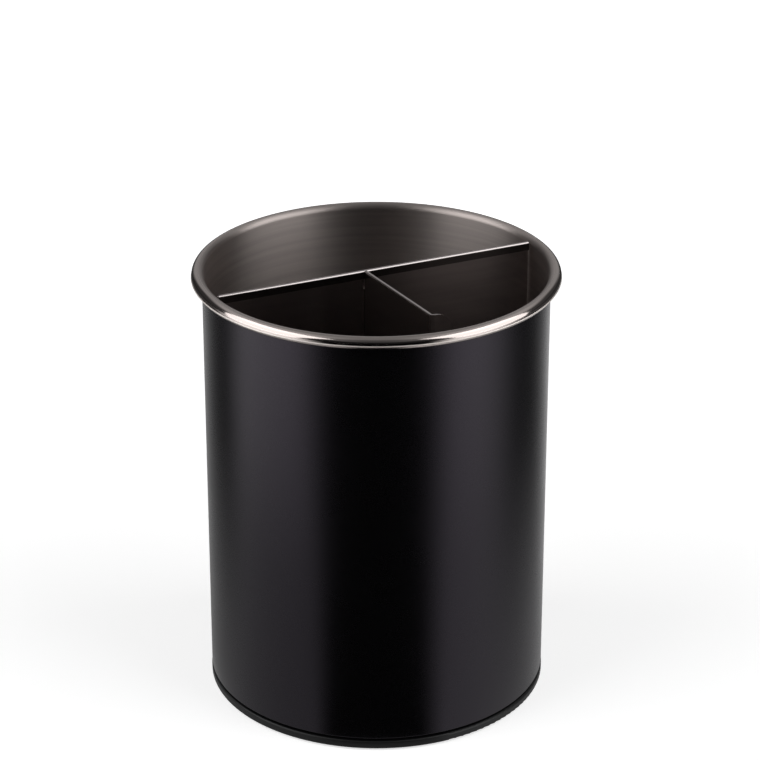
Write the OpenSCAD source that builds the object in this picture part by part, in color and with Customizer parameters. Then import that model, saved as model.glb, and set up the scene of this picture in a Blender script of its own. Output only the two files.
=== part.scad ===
// Rotating cutlery holder: a round container that turns on a ball bearing, with a lift-out divider.
// Millimetres, +Z up, origin at the centre of the underside, cross wall of the divider along X.

/* [Body] */
// Outside diameter of the black jacket
body_d = 146; // [120:1:190]
// Height from the table to the top of the rolled rim
overall_h = 191; // [140:1:240]
// How far the rolled rim stands out from the jacket
rim_out = 4.35; // [3.2:0.05:7]
// Sheet thickness of the steel pot
pot_t = 0.5; // [0.4:0.05:0.8]
// Sheet thickness of the black jacket
jacket_t = 0.4; // [0.3:0.05:0.8]
// Width of the lip that the jacket turns in under the body
jacket_lip = 6; // [4:0.5:10]
// Outside bend radius at the lower edge of the jacket
jacket_bend = 1.2; // [1:0.1:2]
// Sheet thickness of the floor pan
floor_t = 0.7; // [0.5:0.1:1.2]
// Outside bend radius at the edge of the floor pan
floor_bend = 2; // [1.5:0.1:4]

/* [Turntable base] */
// How far the rubber feet stand proud of the base plate
foot_proud = 0.6; // [0.4:0.1:2]
// Height of the edge of the base plate
base_edge_h = 3.6; // [3.2:0.1:6]
// Gap between the base plate and the turning body
turn_gap = 1.2; // [0.8:0.1:3]
// How far the base plate stands out past the jacket
base_proud = 0.15; // [0:0.05:1]
// Thickness of the web of the base plate
base_web = 2; // [1.6:0.1:2.2]
// Radius on the outer edges of the base plate
base_round = 0.8; // [0.4:0.1:1.2]
// Width of the outer wall under the base plate
base_wall = 3.5; // [2.5:0.5:6]
// Number of stiffening ribs under the base plate
rib_count = 12; // [8:1:16]
// Thickness of each rib
rib_t = 1.6; // [1.2:0.1:2.4]
// Number of rubber feet
foot_count = 4; // [3:1:6]
// Diameter of each rubber foot
foot_d = 14; // [10:0.5:18]
// Distance from the edge of the base plate to the middle of a foot
foot_inset = 15; // [12:0.5:22]
// Depth of the recess that holds a foot
foot_seat = 1; // [0.6:0.1:1.4]
// Wall round the recess of a foot
foot_boss_wall = 1.6; // [1.2:0.1:2.4]

/* [Bearing] */
// Diameter of the bearing balls
ball_d = 6; // [5:0.5:7]
// Number of bearing balls
ball_count = 18; // [12:1:22]
// Distance from the outside of the jacket to the ring of ball centres
ball_inset = 25; // [22:0.5:30]
// Width of each race
race_w = 16; // [15:0.5:20]
// Thickness of each race
race_t = 1.4; // [1.3:0.1:2]
// Depth of the ball groove in each race
groove_depth = 0.8; // [0.5:0.1:0.9]
// Clearance between a ball and its grooves
ball_clear = 0.12; // [0.08:0.01:0.2]
// Height of the moulded seat under the lower race
race_seat = 0.6; // [0.4:0.1:1.5]
// Width of the ball cage
cage_w = 9; // [8:0.5:11]
// Thickness of the ball cage
cage_t = 2; // [1.4:0.1:2.4]
// Clearance between a ball and its pocket in the cage
pocket_clear = 0.2; // [0.1:0.05:0.4]

/* [Pivot] */
// Diameter of the pivot bolt
pivot_d = 6; // [5:0.5:8]
// Radial running clearance of the pivot bolt in its bush
pivot_clear = 0.06; // [0.04:0.01:0.1]
// Wall thickness of the pivot bush
bush_wall = 2; // [1.5:0.1:3]
// Thickness of the flange of the pivot bush
bush_flange_t = 1.5; // [1:0.1:2]
// Reach of the flange beyond the wall of the bush
bush_flange_w = 3; // [2:0.5:4]
// Diameter of the hub on the base plate
hub_d = 26; // [24:1:34]
// Diameter of the nut pocket under the hub
nut_pocket_d = 20; // [18:0.5:22]
// Height of the nut pocket
nut_pocket_h = 5.4; // [5.2:0.1:6]
// Diameter of the pivot washers
washer_d = 16; // [14:0.5:17]
// Thickness of the pivot washers
washer_t = 0.9; // [0.6:0.1:1]
// Width of the lock nut across its flats
nut_af = 10; // [9:0.5:12]
// Height of the lock nut
nut_h = 3.2; // [2.6:0.1:3.3]
// Diameter of the bolt head
bolt_head_d = 13; // [11:0.5:14]
// Height of the domed bolt head
bolt_head_h = 2.6; // [2:0.1:3.2]
// Width of the hexagon socket across its flats
socket_af = 4; // [3:0.5:5]
// Depth of the hexagon socket
socket_depth = 1.5; // [1:0.1:1.8]

/* [Fasteners] */
// Number of screws that hold the lower race
screw_count = 4; // [3:1:6]
// Shank diameter of the race screws
screw_d = 2.9; // [2.5:0.1:3.2]
// Head diameter of the race screws
screw_head_d = 5.2; // [4.8:0.1:5.4]
// Diameter of the boss that takes each race screw
screw_boss_d = 8; // [6:0.5:10]
// Number of rivets that hold the upper race
rivet_count = 4; // [4:2:8]
// Shank diameter of the rivets
rivet_d = 3; // [2.4:0.1:3.2]
// Head diameter of the rivets
rivet_head_d = 5.2; // [4.6:0.1:5.6]
// Height of the rivet heads
rivet_head_h = 0.8; // [0.5:0.1:1]

/* [Divider] */
// Sheet thickness of the divider walls
wall_t = 0.8; // [0.6:0.1:1.2]
// Distance from the top of the rim down to the divider
wall_drop = 0.8; // [0.5:0.1:30]
// Gap between each end of the cross wall and the pot
wall_clear = 0.5; // [0.3:0.1:2]
// Height of the folded hem along the top edges
hem_h = 3.8; // [2.4:0.1:6]
// Distance from the axis to the half wall, where it meets the cross wall
half_offset = 5.7; // [0:0.1:8]
// Angle by which the half wall stands off square
half_turn = 4.8; // [0:0.1:6]
// Distance from the end flange of the half wall to the pot
flange_setback = 16; // [10:0.5:30]
// Width of the end flange
end_flange_w = 10; // [8:0.5:16]
// Radius of the top corner of the end flange
end_flange_round = 9; // [3:0.5:9]
// Width of the weld flange on the cross wall
weld_flange_w = 12; // [8:0.5:16]
// Radius of the top corner of the weld flange
weld_flange_round = 4; // [2:0.5:6]
// Distance from the hem down to the weld flange
weld_flange_drop = 5; // [3:0.5:20]
// Outside radius of the sheet bends
wall_bend = 2; // [1.6:0.1:3]
// Radius of the top corners of the cross wall
wall_corner = 1.5; // [1:0.1:4]
// Diameter of the notch that clears the pivot head
notch_d = 24; // [20:1:30]
// Height of that notch
notch_h = 5.5; // [5:0.1:8]

/* [Hidden] */
$fn = 96;

// Fit between sheet parts that nest
fit_gap = 0.05;
// Gap between flat faces that slide on each other
slide_gap = 0.1;
// Overlap that a cut runs past a face
past = 1;

// Radii of the nested skins
body_r = body_d / 2;
pot_r = body_r - jacket_t - fit_gap;
pot_in_r = pot_r - pot_t;
pan_r = pot_in_r - fit_gap;
base_r = body_r + base_proud;

// Section of the rolled rim
curl_r = (body_r + rim_out - pot_in_r) / 2;
curl_mid_r = pot_in_r + curl_r;
curl_z = overall_h - curl_r;
curl_tip_gap = 0.15;
curl_open = acos((curl_mid_r - body_r - curl_tip_gap) / curl_r);

// Heights from the table up to the floor of the pot
base_z0 = foot_proud;
base_z1 = base_z0 + base_edge_h;
body_z0 = base_z1 + turn_gap;
lower_race_z0 = base_z1 + race_seat;
lower_race_z1 = lower_race_z0 + race_t;
ball_r = ball_d / 2;
groove_r = ball_r + ball_clear;
ball_z = lower_race_z1 - groove_depth + groove_r;
upper_race_z0 = ball_z + groove_r - groove_depth;
upper_race_z1 = upper_race_z0 + race_t;
floor_z = upper_race_z1 + floor_t;

// Plan of the bearing
ball_ring_r = body_r - ball_inset;
race_in_r = ball_ring_r - race_w / 2;
race_out_r = ball_ring_r + race_w / 2;
groove_half_w = sqrt(pow(groove_r, 2) - pow(groove_r - groove_depth, 2));
screw_ring_r = (race_in_r + ball_ring_r - groove_half_w) / 2;
rivet_ring_r = (race_out_r + ball_ring_r + groove_half_w) / 2;
foot_ring_r = base_r - foot_inset;

// Heights and radii of the pivot
pivot_r = pivot_d / 2;
bush_in_r = pivot_r + pivot_clear;
bush_out_r = bush_in_r + bush_wall;
bush_flange_r = bush_out_r + bush_flange_w;
bush_top = upper_race_z1 - slide_gap;
hub_top = bush_top - bush_flange_t;
nut_pocket_top = base_z0 + nut_pocket_h;
washer_top = nut_pocket_top - slide_gap;
nut_top = washer_top - washer_t;
nut_bottom = nut_top - nut_h;
bolt_tip_z = nut_bottom - 0.3;
head_seat_z = floor_z + washer_t;

// Divider heights and plan
wall_z0 = floor_z + fit_gap;
wall_z1 = overall_h - wall_drop;
cross_half_l = sqrt(pow(pot_in_r - wall_clear, 2) - pow(wall_t * 1.5, 2));
face_y = -wall_t / 2;
end_y = -(pot_in_r - flange_setback);
half_x = -half_offset;
half_left = half_x - wall_t / 2;
weld_bend_at = [half_left + wall_bend, face_y - wall_bend];
weld_top = wall_z1 - hem_h - weld_flange_drop;

// Colours of the plain views
black_paint = [0.06, 0.06, 0.065];
black_plastic = [0.09, 0.09, 0.095];
rubber = [0.13, 0.13, 0.13];
steel = [0.72, 0.71, 0.69];
zinc = [0.62, 0.63, 0.65];
white_plastic = [0.88, 0.87, 0.83];

// Rectangle of a revolved section, from one radius and height to another
module band(r0, r1, z0, z1) {
    translate([r0, z0]) square([r1 - r0, z1 - z0]);
}

// Flat ring about the axis
module ring(r0, r1, z0, z1) {
    rotate_extrude() band(r0, r1, z0, z1);
}

// Part of a bent sheet between two angles about the middle of the bend
module bend_sector(out_r, sheet, from, to) {
    intersection() {
        difference() {
            circle(r = out_r);
            circle(r = out_r - sheet);
        }
        polygon([[0, 0], for (angle = [from, (from + to) / 2, to]) 2 * out_r * [cos(angle), sin(angle)]]);
    }
}

// Square corner less its rounded part, for rounding the top corner of a wall
module corner_waste(r) {
    difference() {
        square([r + past, r + past]);
        circle(r = r);
    }
}

// Low dome of a rivet or bolt head, as half a section
module dome_section(r, h) {
    dome_r = (pow(r, 2) + pow(h, 2)) / (2 * h);
    intersection() {
        translate([0, h - dome_r]) circle(r = dome_r);
        square([r, h]);
    }
}

// Copies of a piece round the axis, at a radius
module around(count, r, start) {
    for (i = [0 : count - 1]) {
        rotate([0, 0, start + i * 360 / count]) translate([r, 0, 0]) children();
    }
}

// Room that the balls roll in
module ball_track() {
    rotate_extrude() translate([ball_ring_r, ball_z]) circle(r = groove_r);
}

// Disc with rounded edges and the hollow under its web, as half a section
module base_section() {
    difference() {
        union() {
            band(0, base_r - base_round, 0, base_edge_h);
            band(0, base_r, base_round, base_edge_h - base_round);
            translate([base_r - base_round, base_round]) circle(r = base_round);
            translate([base_r - base_round, base_edge_h - base_round]) circle(r = base_round);
        }
        band(hub_d / 2 - past, base_r - base_wall, -past, base_edge_h - base_web);
    }
}

// Rib from the hub to the outer wall
module base_rib() {
    rib_lift = 0.4;
    rib_l = base_r - base_wall - hub_d / 2 + 2 * past;
    translate([hub_d / 2 - past, -rib_t / 2, base_z0 + rib_lift])
        cube([rib_l, rib_t, base_edge_h - base_web - rib_lift + past]);
}

module base_plate() {
    color(black_plastic)
    difference() {
        union() {
            translate([0, 0, base_z0]) rotate_extrude() base_section();
            around(rib_count, 0, 15) base_rib();
            around(foot_count, foot_ring_r, 45)
                translate([0, 0, base_z0]) cylinder(d = foot_d + 2 * foot_boss_wall, h = base_edge_h - past);
            around(screw_count, screw_ring_r, 0)
                translate([0, 0, base_z0]) cylinder(d = screw_boss_d, h = base_edge_h - past);
            ring(race_in_r - past, race_out_r + past, base_z1 - past, lower_race_z0);
            ring(bush_out_r, hub_d / 2, base_z0, hub_top);
        }
        translate([0, 0, base_z0 - past]) cylinder(r = bush_out_r, h = hub_top);
        translate([0, 0, base_z0 - past]) cylinder(d = nut_pocket_d, h = nut_pocket_h + past);
        around(foot_count, foot_ring_r, 45)
            translate([0, 0, base_z0 - past]) cylinder(d = foot_d + 2 * fit_gap, h = foot_seat + past);
        around(screw_count, screw_ring_r, 0)
            translate([0, 0, base_z0 + past]) cylinder(d = screw_d + 2 * fit_gap, h = base_edge_h);
    }
}

module rubber_feet() {
    foot_r = foot_d / 2;
    foot_round = 0.4;
    foot_h = foot_proud + foot_seat;
    color(rubber)
    around(foot_count, foot_ring_r, 45)
        rotate_extrude() {
            band(0, foot_r - foot_round, 0, foot_h);
            band(0, foot_r, foot_round, foot_h);
            translate([foot_r - foot_round, foot_round]) circle(r = foot_round);
        }
}

// Countersunk screw as half a section below its top, widened by a clearance
module screw_section(grow, length) {
    head_r = screw_head_d / 2 + grow;
    shank_r = screw_d / 2 + grow;
    polygon([[0, 0], [head_r, 0], [shank_r, shank_r - head_r], [shank_r, -length], [0, -length]]);
}

module lower_race() {
    color(zinc)
    difference() {
        ring(race_in_r, race_out_r, lower_race_z0, lower_race_z1);
        ball_track();
        around(screw_count, screw_ring_r, 0)
            translate([0, 0, lower_race_z1]) rotate_extrude() screw_section(fit_gap, race_t + past);
    }
}

module lower_race_screws() {
    slot_l = 3;
    slot_w = 0.7;
    slot_depth = 0.7;
    screw_l = lower_race_z1 - base_z0 - past - fit_gap;
    color(steel)
    around(screw_count, screw_ring_r, 0)
        translate([0, 0, lower_race_z1])
        difference() {
            rotate_extrude() screw_section(0, screw_l);
            translate([-slot_l / 2, -slot_w / 2, -slot_depth]) cube([slot_l, slot_w, past]);
            translate([-slot_w / 2, -slot_l / 2, -slot_depth]) cube([slot_w, slot_l, past]);
        }
}

module pivot_bush() {
    color(white_plastic)
    rotate_extrude() {
        band(bush_in_r, bush_out_r, nut_pocket_top, bush_top);
        band(bush_in_r, bush_flange_r, hub_top, bush_top);
    }
}

module ball_cage() {
    color(white_plastic)
    difference() {
        ring(ball_ring_r - cage_w / 2, ball_ring_r + cage_w / 2, ball_z - cage_t / 2, ball_z + cage_t / 2);
        around(ball_count, ball_ring_r, 0)
            translate([0, 0, ball_z - cage_t]) cylinder(r = ball_r + pocket_clear, h = 2 * cage_t);
    }
}

module bearing_balls() {
    color(steel)
    around(ball_count, ball_ring_r, 0)
        translate([0, 0, ball_z]) sphere(r = ball_r);
}

module outer_jacket() {
    color(black_paint)
    rotate_extrude() {
        band(body_r - jacket_t, body_r, body_z0 + jacket_bend, curl_z - past / 2);
        translate([body_r - jacket_bend, body_z0 + jacket_bend]) bend_sector(jacket_bend, jacket_t, 270, 360);
        band(body_r - jacket_lip, body_r - jacket_bend, body_z0, body_z0 + jacket_t);
    }
}

// Rolled edge of the pot, open on the side of the jacket
module curl_section() {
    reach = 2 * curl_r;
    difference() {
        circle(r = curl_r);
        circle(r = curl_r - pot_t);
        polygon([[0, 0], [-reach, 0], [-reach, -reach * tan(curl_open)]]);
    }
}

module inner_pot() {
    color(steel)
    rotate_extrude() {
        band(pot_in_r, pot_r, body_z0 + jacket_bend + fit_gap, curl_z);
        translate([curl_mid_r, curl_z]) curl_section();
    }
}

module floor_pan() {
    color(steel)
    difference() {
        rotate_extrude() {
            band(pivot_r + fit_gap, pan_r - floor_bend, upper_race_z1, floor_z);
            translate([pan_r - floor_bend, floor_z - floor_bend]) bend_sector(floor_bend, floor_t, 0, 90);
            band(pan_r - floor_t, pan_r, body_z0 + jacket_bend + fit_gap, floor_z - floor_bend);
        }
        around(rivet_count, rivet_ring_r, 45)
            translate([0, 0, upper_race_z1 - past])
                cylinder(d = rivet_d + 2 * fit_gap, h = floor_t + 2 * past);
    }
}

module upper_race() {
    color(zinc)
    difference() {
        ring(race_in_r, race_out_r, upper_race_z0, upper_race_z1);
        ball_track();
        around(rivet_count, rivet_ring_r, 45)
            translate([0, 0, upper_race_z0 - past])
                cylinder(d = rivet_d + 2 * fit_gap, h = race_t + 2 * past);
    }
}

module upper_race_rivets() {
    color(steel)
    around(rivet_count, rivet_ring_r, 45)
        rotate_extrude() {
            band(0, rivet_d / 2, upper_race_z0, floor_z);
            translate([0, floor_z]) dome_section(rivet_head_d / 2, rivet_head_h);
            translate([0, upper_race_z0]) mirror([0, 1]) dome_section(rivet_head_d / 2, rivet_head_h);
        }
}

module pivot_bolt() {
    color(steel)
    difference() {
        rotate_extrude() {
            band(0, pivot_r, bolt_tip_z, head_seat_z);
            translate([0, head_seat_z]) dome_section(bolt_head_d / 2, bolt_head_h);
        }
        translate([0, 0, head_seat_z + bolt_head_h - socket_depth])
            cylinder(d = socket_af / cos(30), h = socket_depth + past, $fn = 6);
    }
}

module head_washer() {
    color(steel)
    ring(pivot_r + fit_gap, washer_d / 2, floor_z, head_seat_z);
}

module thrust_washer() {
    color(zinc)
    ring(pivot_r + fit_gap, washer_d / 2, nut_top, washer_top);
}

module lock_nut() {
    color(zinc)
    difference() {
        translate([0, 0, nut_bottom]) cylinder(d = nut_af / cos(30), h = nut_h, $fn = 6);
        translate([0, 0, nut_bottom - past]) cylinder(r = pivot_r + fit_gap, h = nut_h + 2 * past);
    }
}

// Room for the pivot head under the divider
module pivot_notch() {
    translate([0, 0, wall_z0 - past]) cylinder(d = notch_d, h = notch_h + past);
}

// Sheet with its top edge folded over to the side of the second argument, as a section
module hemmed_section(z0, side) {
    translate([-wall_t / 2, z0]) square([wall_t, wall_z1 - wall_t - z0]);
    translate([side * wall_t - wall_t / 2, wall_z1 - hem_h]) square([wall_t, hem_h - wall_t]);
    translate([side * wall_t / 2, wall_z1 - wall_t])
        intersection() {
            circle(r = wall_t);
            translate([-wall_t, 0]) square([2 * wall_t, wall_t]);
        }
}

module cross_wall() {
    color(steel)
    difference() {
        rotate([90, 0, 90])
            linear_extrude(height = 2 * cross_half_l, center = true) hemmed_section(wall_z0, -1);
        pivot_notch();
        for (side = [0, 1]) {
            mirror([side, 0, 0])
                translate([cross_half_l - wall_corner, past * 5, wall_z1 - wall_corner])
                rotate([90, 0, 0])
                linear_extrude(height = past * 10) corner_waste(wall_corner);
        }
    }
}

// Turns the half wall off square, about the middle of its bend at the cross wall
module off_square() {
    translate(weld_bend_at) rotate(half_turn) translate(-weld_bend_at) children();
}

// Half wall and its end flange in plan, before they are turned off square
module web_plan() {
    translate([half_left, end_y + wall_bend]) square([wall_t, face_y - end_y - 2 * wall_bend]);
    end_plan();
}

module end_plan() {
    translate([half_left + wall_bend, end_y + wall_bend]) bend_sector(wall_bend, wall_t, 180, 270);
    translate([half_left + wall_bend, end_y]) square([end_flange_w - wall_bend, wall_t]);
}

// Flange against the cross wall and its bend, in plan
module weld_plan() {
    translate(weld_bend_at) bend_sector(wall_bend, wall_t, 90, 180 + half_turn);
    translate([weld_bend_at[0], face_y - wall_t]) square([weld_flange_w - wall_bend, wall_t]);
}

// Stretch of the half wall that stays above the weld flange and carries the hem
module half_top() {
    hem_y0 = end_y + wall_bend;
    hem_y1 = face_y - wall_t - fit_gap;
    translate([half_x, hem_y1, 0])
        rotate([90, 0, 0])
        linear_extrude(height = hem_y1 - hem_y0) hemmed_section(weld_top - past, 1);
}

// Sheet that is cut away outside a round top corner, across a flange
module flange_corner(flange_w, top, radius, y) {
    translate([half_left + flange_w - radius, y + past * 2, top - radius])
        rotate([90, 0, 0])
        linear_extrude(height = past * 4) corner_waste(radius);
}

module half_wall() {
    color(steel)
    difference() {
        union() {
            translate([0, 0, wall_z0])
                linear_extrude(height = weld_top - wall_z0) {
                    weld_plan();
                    off_square() web_plan();
                }
            off_square() {
                translate([0, 0, wall_z0]) linear_extrude(height = wall_z1 - wall_z0) end_plan();
                half_top();
            }
        }
        pivot_notch();
        off_square() flange_corner(end_flange_w, wall_z1, end_flange_round, end_y);
        flange_corner(weld_flange_w, weld_top, weld_flange_round, face_y);
    }
}

base_plate();
rubber_feet();
lower_race();
lower_race_screws();
pivot_bush();
ball_cage();
bearing_balls();
outer_jacket();
inner_pot();
floor_pan();
upper_race();
upper_race_rivets();
pivot_bolt();
head_washer();
thrust_washer();
lock_nut();
cross_wall();
half_wall();
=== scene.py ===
"""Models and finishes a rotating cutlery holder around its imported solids."""

import math

import bmesh
import bpy
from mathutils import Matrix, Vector


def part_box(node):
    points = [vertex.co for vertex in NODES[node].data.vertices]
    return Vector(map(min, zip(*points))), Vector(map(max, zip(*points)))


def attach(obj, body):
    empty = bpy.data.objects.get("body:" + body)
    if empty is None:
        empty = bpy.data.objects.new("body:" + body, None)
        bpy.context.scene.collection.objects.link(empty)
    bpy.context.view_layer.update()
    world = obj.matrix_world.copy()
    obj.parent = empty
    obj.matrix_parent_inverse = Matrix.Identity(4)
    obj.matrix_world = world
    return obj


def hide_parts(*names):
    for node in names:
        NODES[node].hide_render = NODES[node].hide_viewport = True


bl_info = {
    "name": "Rotating cutlery holder",
    "version": (1, 0, 0),
    "blender": (4, 5, 0),
    "location": "View3D > Sidebar > Holder",
    "description": "Models and finishes a turning cutlery container around its solids",
    "category": "Add Mesh",
}

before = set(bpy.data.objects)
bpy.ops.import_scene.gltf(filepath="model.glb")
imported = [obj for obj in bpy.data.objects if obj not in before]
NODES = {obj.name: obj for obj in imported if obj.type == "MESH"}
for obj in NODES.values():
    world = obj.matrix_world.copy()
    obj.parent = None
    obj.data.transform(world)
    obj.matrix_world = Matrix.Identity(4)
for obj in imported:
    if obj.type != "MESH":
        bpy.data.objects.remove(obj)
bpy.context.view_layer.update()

MM = 0.001
TURN = 2 * math.pi
X, Y, Z = range(3)
LOW, HIGH = range(2)


def cad(node, corner, axis):
    """One coordinate of the low or high corner of a node's box, in metres."""
    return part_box(node)[corner][axis]


# Sizes read from the solids, so that each new piece keeps the place of the one it stands for
RIM_R = cad("inner_pot", HIGH, X)
RIM_TOP = cad("inner_pot", HIGH, Z)
POT_FOOT = cad("inner_pot", LOW, Z)
BODY_R = cad("outer_jacket", HIGH, X)
BODY_TOP = cad("outer_jacket", HIGH, Z)
BODY_FOOT = cad("outer_jacket", LOW, Z)
WALL_TOP = cad("cross_wall", HIGH, Z)
WALL_FOOT = cad("cross_wall", LOW, Z)
CROSS_HALF = cad("cross_wall", HIGH, X)

# Mesh steps, soft edges, and how near counts as the same place or angle
CURL_POINTS = 128
BEND_POINTS = 48
SIDE_ROWS = 12
SOFT_EDGE = 0.16 * MM
SOFT_STEPS = 2
SOFT_ABOVE = math.radians(40.0)
SMOOTH_BELOW = math.radians(35.0)
SLACK = 0.01 * MM
TOUCH = 0.02 * MM
MERGE = 0.004 * MM
DEGREE_SLACK = 0.01


class HolderSizes(bpy.types.PropertyGroup):
    """Sheet sizes and mesh steps that the new pieces are modelled with."""

    pot_sheet: bpy.props.FloatProperty(
        name="Pot sheet", description="Thickness of the steel of the pot",
        default=0.5 * MM, min=0.2 * MM, max=1.5 * MM, unit="LENGTH", precision=5)
    jacket_sheet: bpy.props.FloatProperty(
        name="Jacket sheet", description="Thickness of the painted jacket",
        default=0.4 * MM, min=0.2 * MM, max=1.5 * MM, unit="LENGTH", precision=5)
    jacket_bend: bpy.props.FloatProperty(
        name="Jacket bend", description="Outside radius at the lower edge of the jacket",
        default=0.6 * MM, min=0.5 * MM, max=3 * MM, unit="LENGTH", precision=5)
    jacket_lip: bpy.props.FloatProperty(
        name="Jacket lip", description="Width of the lip turned in under the body",
        default=6 * MM, min=3 * MM, max=12 * MM, unit="LENGTH", precision=5)
    divider_sheet: bpy.props.FloatProperty(
        name="Divider sheet",
        description="Thickness of the divider, a little thin so that its hems stay open",
        default=0.76 * MM, min=0.4 * MM, max=0.8 * MM, unit="LENGTH", precision=6)
    skin_gap: bpy.props.FloatProperty(
        name="Skin gap", description="Gap between the pot and the jacket",
        default=0.05 * MM, min=0, max=0.5 * MM, unit="LENGTH", precision=6)
    steps: bpy.props.IntProperty(
        name="Steps", description="Mesh steps round the axis", default=240, min=48, max=480)


class HolderColours(bpy.types.PropertyGroup):
    """Colours of the finishes."""

    paint: bpy.props.FloatVectorProperty(
        name="Paint", description="Satin black of the jacket",
        default=(0.0015, 0.0015, 0.0016), min=0, max=1, subtype="COLOR")
    steel: bpy.props.FloatVectorProperty(
        name="Steel", description="Bare stainless steel of the pot",
        default=(0.49, 0.436, 0.415), min=0, max=1, subtype="COLOR")
    edge: bpy.props.FloatVectorProperty(
        name="Sheared edge", description="Cut edge of the rim's sheet",
        default=(0.68, 0.63, 0.6), min=0, max=1, subtype="COLOR")
    sheet: bpy.props.FloatVectorProperty(
        name="Divider steel", description="Bright rolled sheet of the divider",
        default=(0.48, 0.438, 0.432), min=0, max=1, subtype="COLOR")
    plastic: bpy.props.FloatVectorProperty(
        name="Base plastic", description="Moulded black of the base",
        default=(0.006, 0.006, 0.0065), min=0, max=1, subtype="COLOR")
    rubber: bpy.props.FloatVectorProperty(
        name="Rubber", description="Feet under the base",
        default=(0.02, 0.02, 0.02), min=0, max=1, subtype="COLOR")
    acetal: bpy.props.FloatVectorProperty(
        name="Acetal", description="Pale plastic of the bush and the ball cage",
        default=(0.72, 0.7, 0.65), min=0, max=1, subtype="COLOR")
    zinc: bpy.props.FloatVectorProperty(
        name="Zinc plate", description="Races, thrust washer and lock nut",
        default=(0.5, 0.52, 0.55), min=0, max=1, subtype="COLOR")
    fasteners: bpy.props.FloatVectorProperty(
        name="Fasteners", description="Bright bolt, washer, rivets and screws",
        default=(0.56, 0.55, 0.53), min=0, max=1, subtype="COLOR")
    balls: bpy.props.FloatVectorProperty(
        name="Balls", description="Polished bearing balls",
        default=(0.7, 0.7, 0.7), min=0, max=1, subtype="COLOR")
    floor: bpy.props.FloatVectorProperty(
        name="Floor", description="Pale floor under the holder",
        default=(0.8, 0.8, 0.8), min=0, max=1, subtype="COLOR")


def sizes():
    return bpy.context.scene.holder_sizes


def colours():
    return bpy.context.scene.holder_colours


def pot_inner():
    """Inside radius of the pot, behind the jacket and the gap between the two."""
    s = sizes()
    return BODY_R - s.jacket_sheet - s.skin_gap - s.pot_sheet


def curl_radius():
    """Outside radius of the section of the rolled rim."""
    return (RIM_R - pot_inner()) / 2


# Modelling helpers


def clear_selection():
    if bpy.context.object and bpy.context.object.mode != "OBJECT":
        bpy.ops.object.mode_set(mode="OBJECT")
    bpy.ops.object.select_all(action="DESELECT")


def take(piece):
    """Selects one piece alone."""
    clear_selection()
    piece.select_set(True)
    bpy.context.view_layer.objects.active = piece


def name_new(name):
    """Names the primitive that was just added, and moves its place and turn into its mesh."""
    piece = bpy.context.object
    piece.name = name
    piece.data.name = name
    bpy.ops.object.transform_apply(location=True, rotation=True, scale=True)
    return piece


def open_edit():
    bpy.ops.object.mode_set(mode="EDIT")
    bpy.ops.mesh.select_mode(type="VERT")
    bpy.ops.mesh.select_all(action="DESELECT")


def close_edit():
    bpy.ops.object.mode_set(mode="OBJECT")


def pick_verts(test):
    """Selects in edit mode the vertices whose place passes the test, and says how many there are."""
    mesh = bmesh.from_edit_mesh(bpy.context.object.data)
    for v in mesh.verts:
        v.select = bool(test(v.co))
    mesh.select_flush_mode()
    bmesh.update_edit_mesh(bpy.context.object.data)
    return sum(v.select for v in mesh.verts)


def vertex_places():
    """The places of all vertices of the piece in edit mode."""
    return [v.co.copy() for v in bmesh.from_edit_mesh(bpy.context.object.data).verts]


def near(place):
    """A test for the vertex at a place."""
    place = Vector(place)
    return lambda co: (co - place).length < TOUCH


def arc(name, centre, radius, start, end, points, up=Z):
    """Starts a piece as a line of vertices, on a circle from one angle to another, in degrees."""
    clear_selection()
    bpy.ops.mesh.primitive_circle_add(
        vertices=points, radius=radius, fill_type="NOTHING", location=centre,
        rotation=(math.pi / 2 if up == Z else 0, 0, 0))
    piece = name_new(name)
    open_edit()

    def outside(co):
        angle = math.degrees(math.atan2(co[up] - centre[up], co[X] - centre[X]))
        return (angle - start + DEGREE_SLACK) % 360 > end - start + 2 * DEGREE_SLACK

    pick_verts(outside)
    bpy.ops.mesh.delete(type="VERT")
    return piece


def evenly(start, end, count):
    """Equal steps from one place to another, the last one at the end."""
    shares = [(i + 1) / count for i in range(count)]
    return [[a + (b - a) * share for a, b in zip(start, end)] for share in shares]


def extrude_by(step):
    bpy.ops.mesh.extrude_region_move(TRANSFORM_OT_translate={"value": step})


def extrude_through(start, path):
    """Extrudes what is selected through each place of the path, from the place where it starts."""
    here = Vector(start)
    for place in path:
        extrude_by(Vector(place) - here)
        here = Vector(place)


def draw_on(start, path):
    """Extrudes the vertex at start through each further place of the path."""
    if pick_verts(near(start)) != 1:
        raise RuntimeError("no single vertex to draw on from")
    extrude_through(start, path)


def shift(place, step):
    """Moves the vertex at a place."""
    if pick_verts(near(place)):
        bpy.ops.transform.translate(value=step)


def round_drop(radius, over):
    """How far a round corner has fallen at a distance past its start."""
    return radius - math.sqrt(max(0.0, radius ** 2 - over ** 2))


def merge_and_face():
    bpy.ops.mesh.select_all(action="SELECT")
    bpy.ops.mesh.remove_doubles(threshold=MERGE)
    bpy.ops.mesh.normals_make_consistent(inside=False)


def turn_profile():
    """Spins the drawn line once round the axis and closes the seam."""
    bpy.ops.mesh.select_all(action="SELECT")
    bpy.ops.mesh.spin(steps=sizes().steps, angle=TURN, center=(0, 0, 0), axis=(0, 0, 1))
    merge_and_face()
    close_edit()


def apply_modifier(piece, kind, **values):
    modifier = piece.modifiers.new(kind.title(), kind)
    for key, value in values.items():
        setattr(modifier, key, value)
    bpy.context.view_layer.objects.active = piece
    bpy.ops.object.modifier_apply(modifier=modifier.name)


def thicken(piece, sheet):
    apply_modifier(piece, "SOLIDIFY", thickness=sheet, offset=0, use_even_offset=True)


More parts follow.
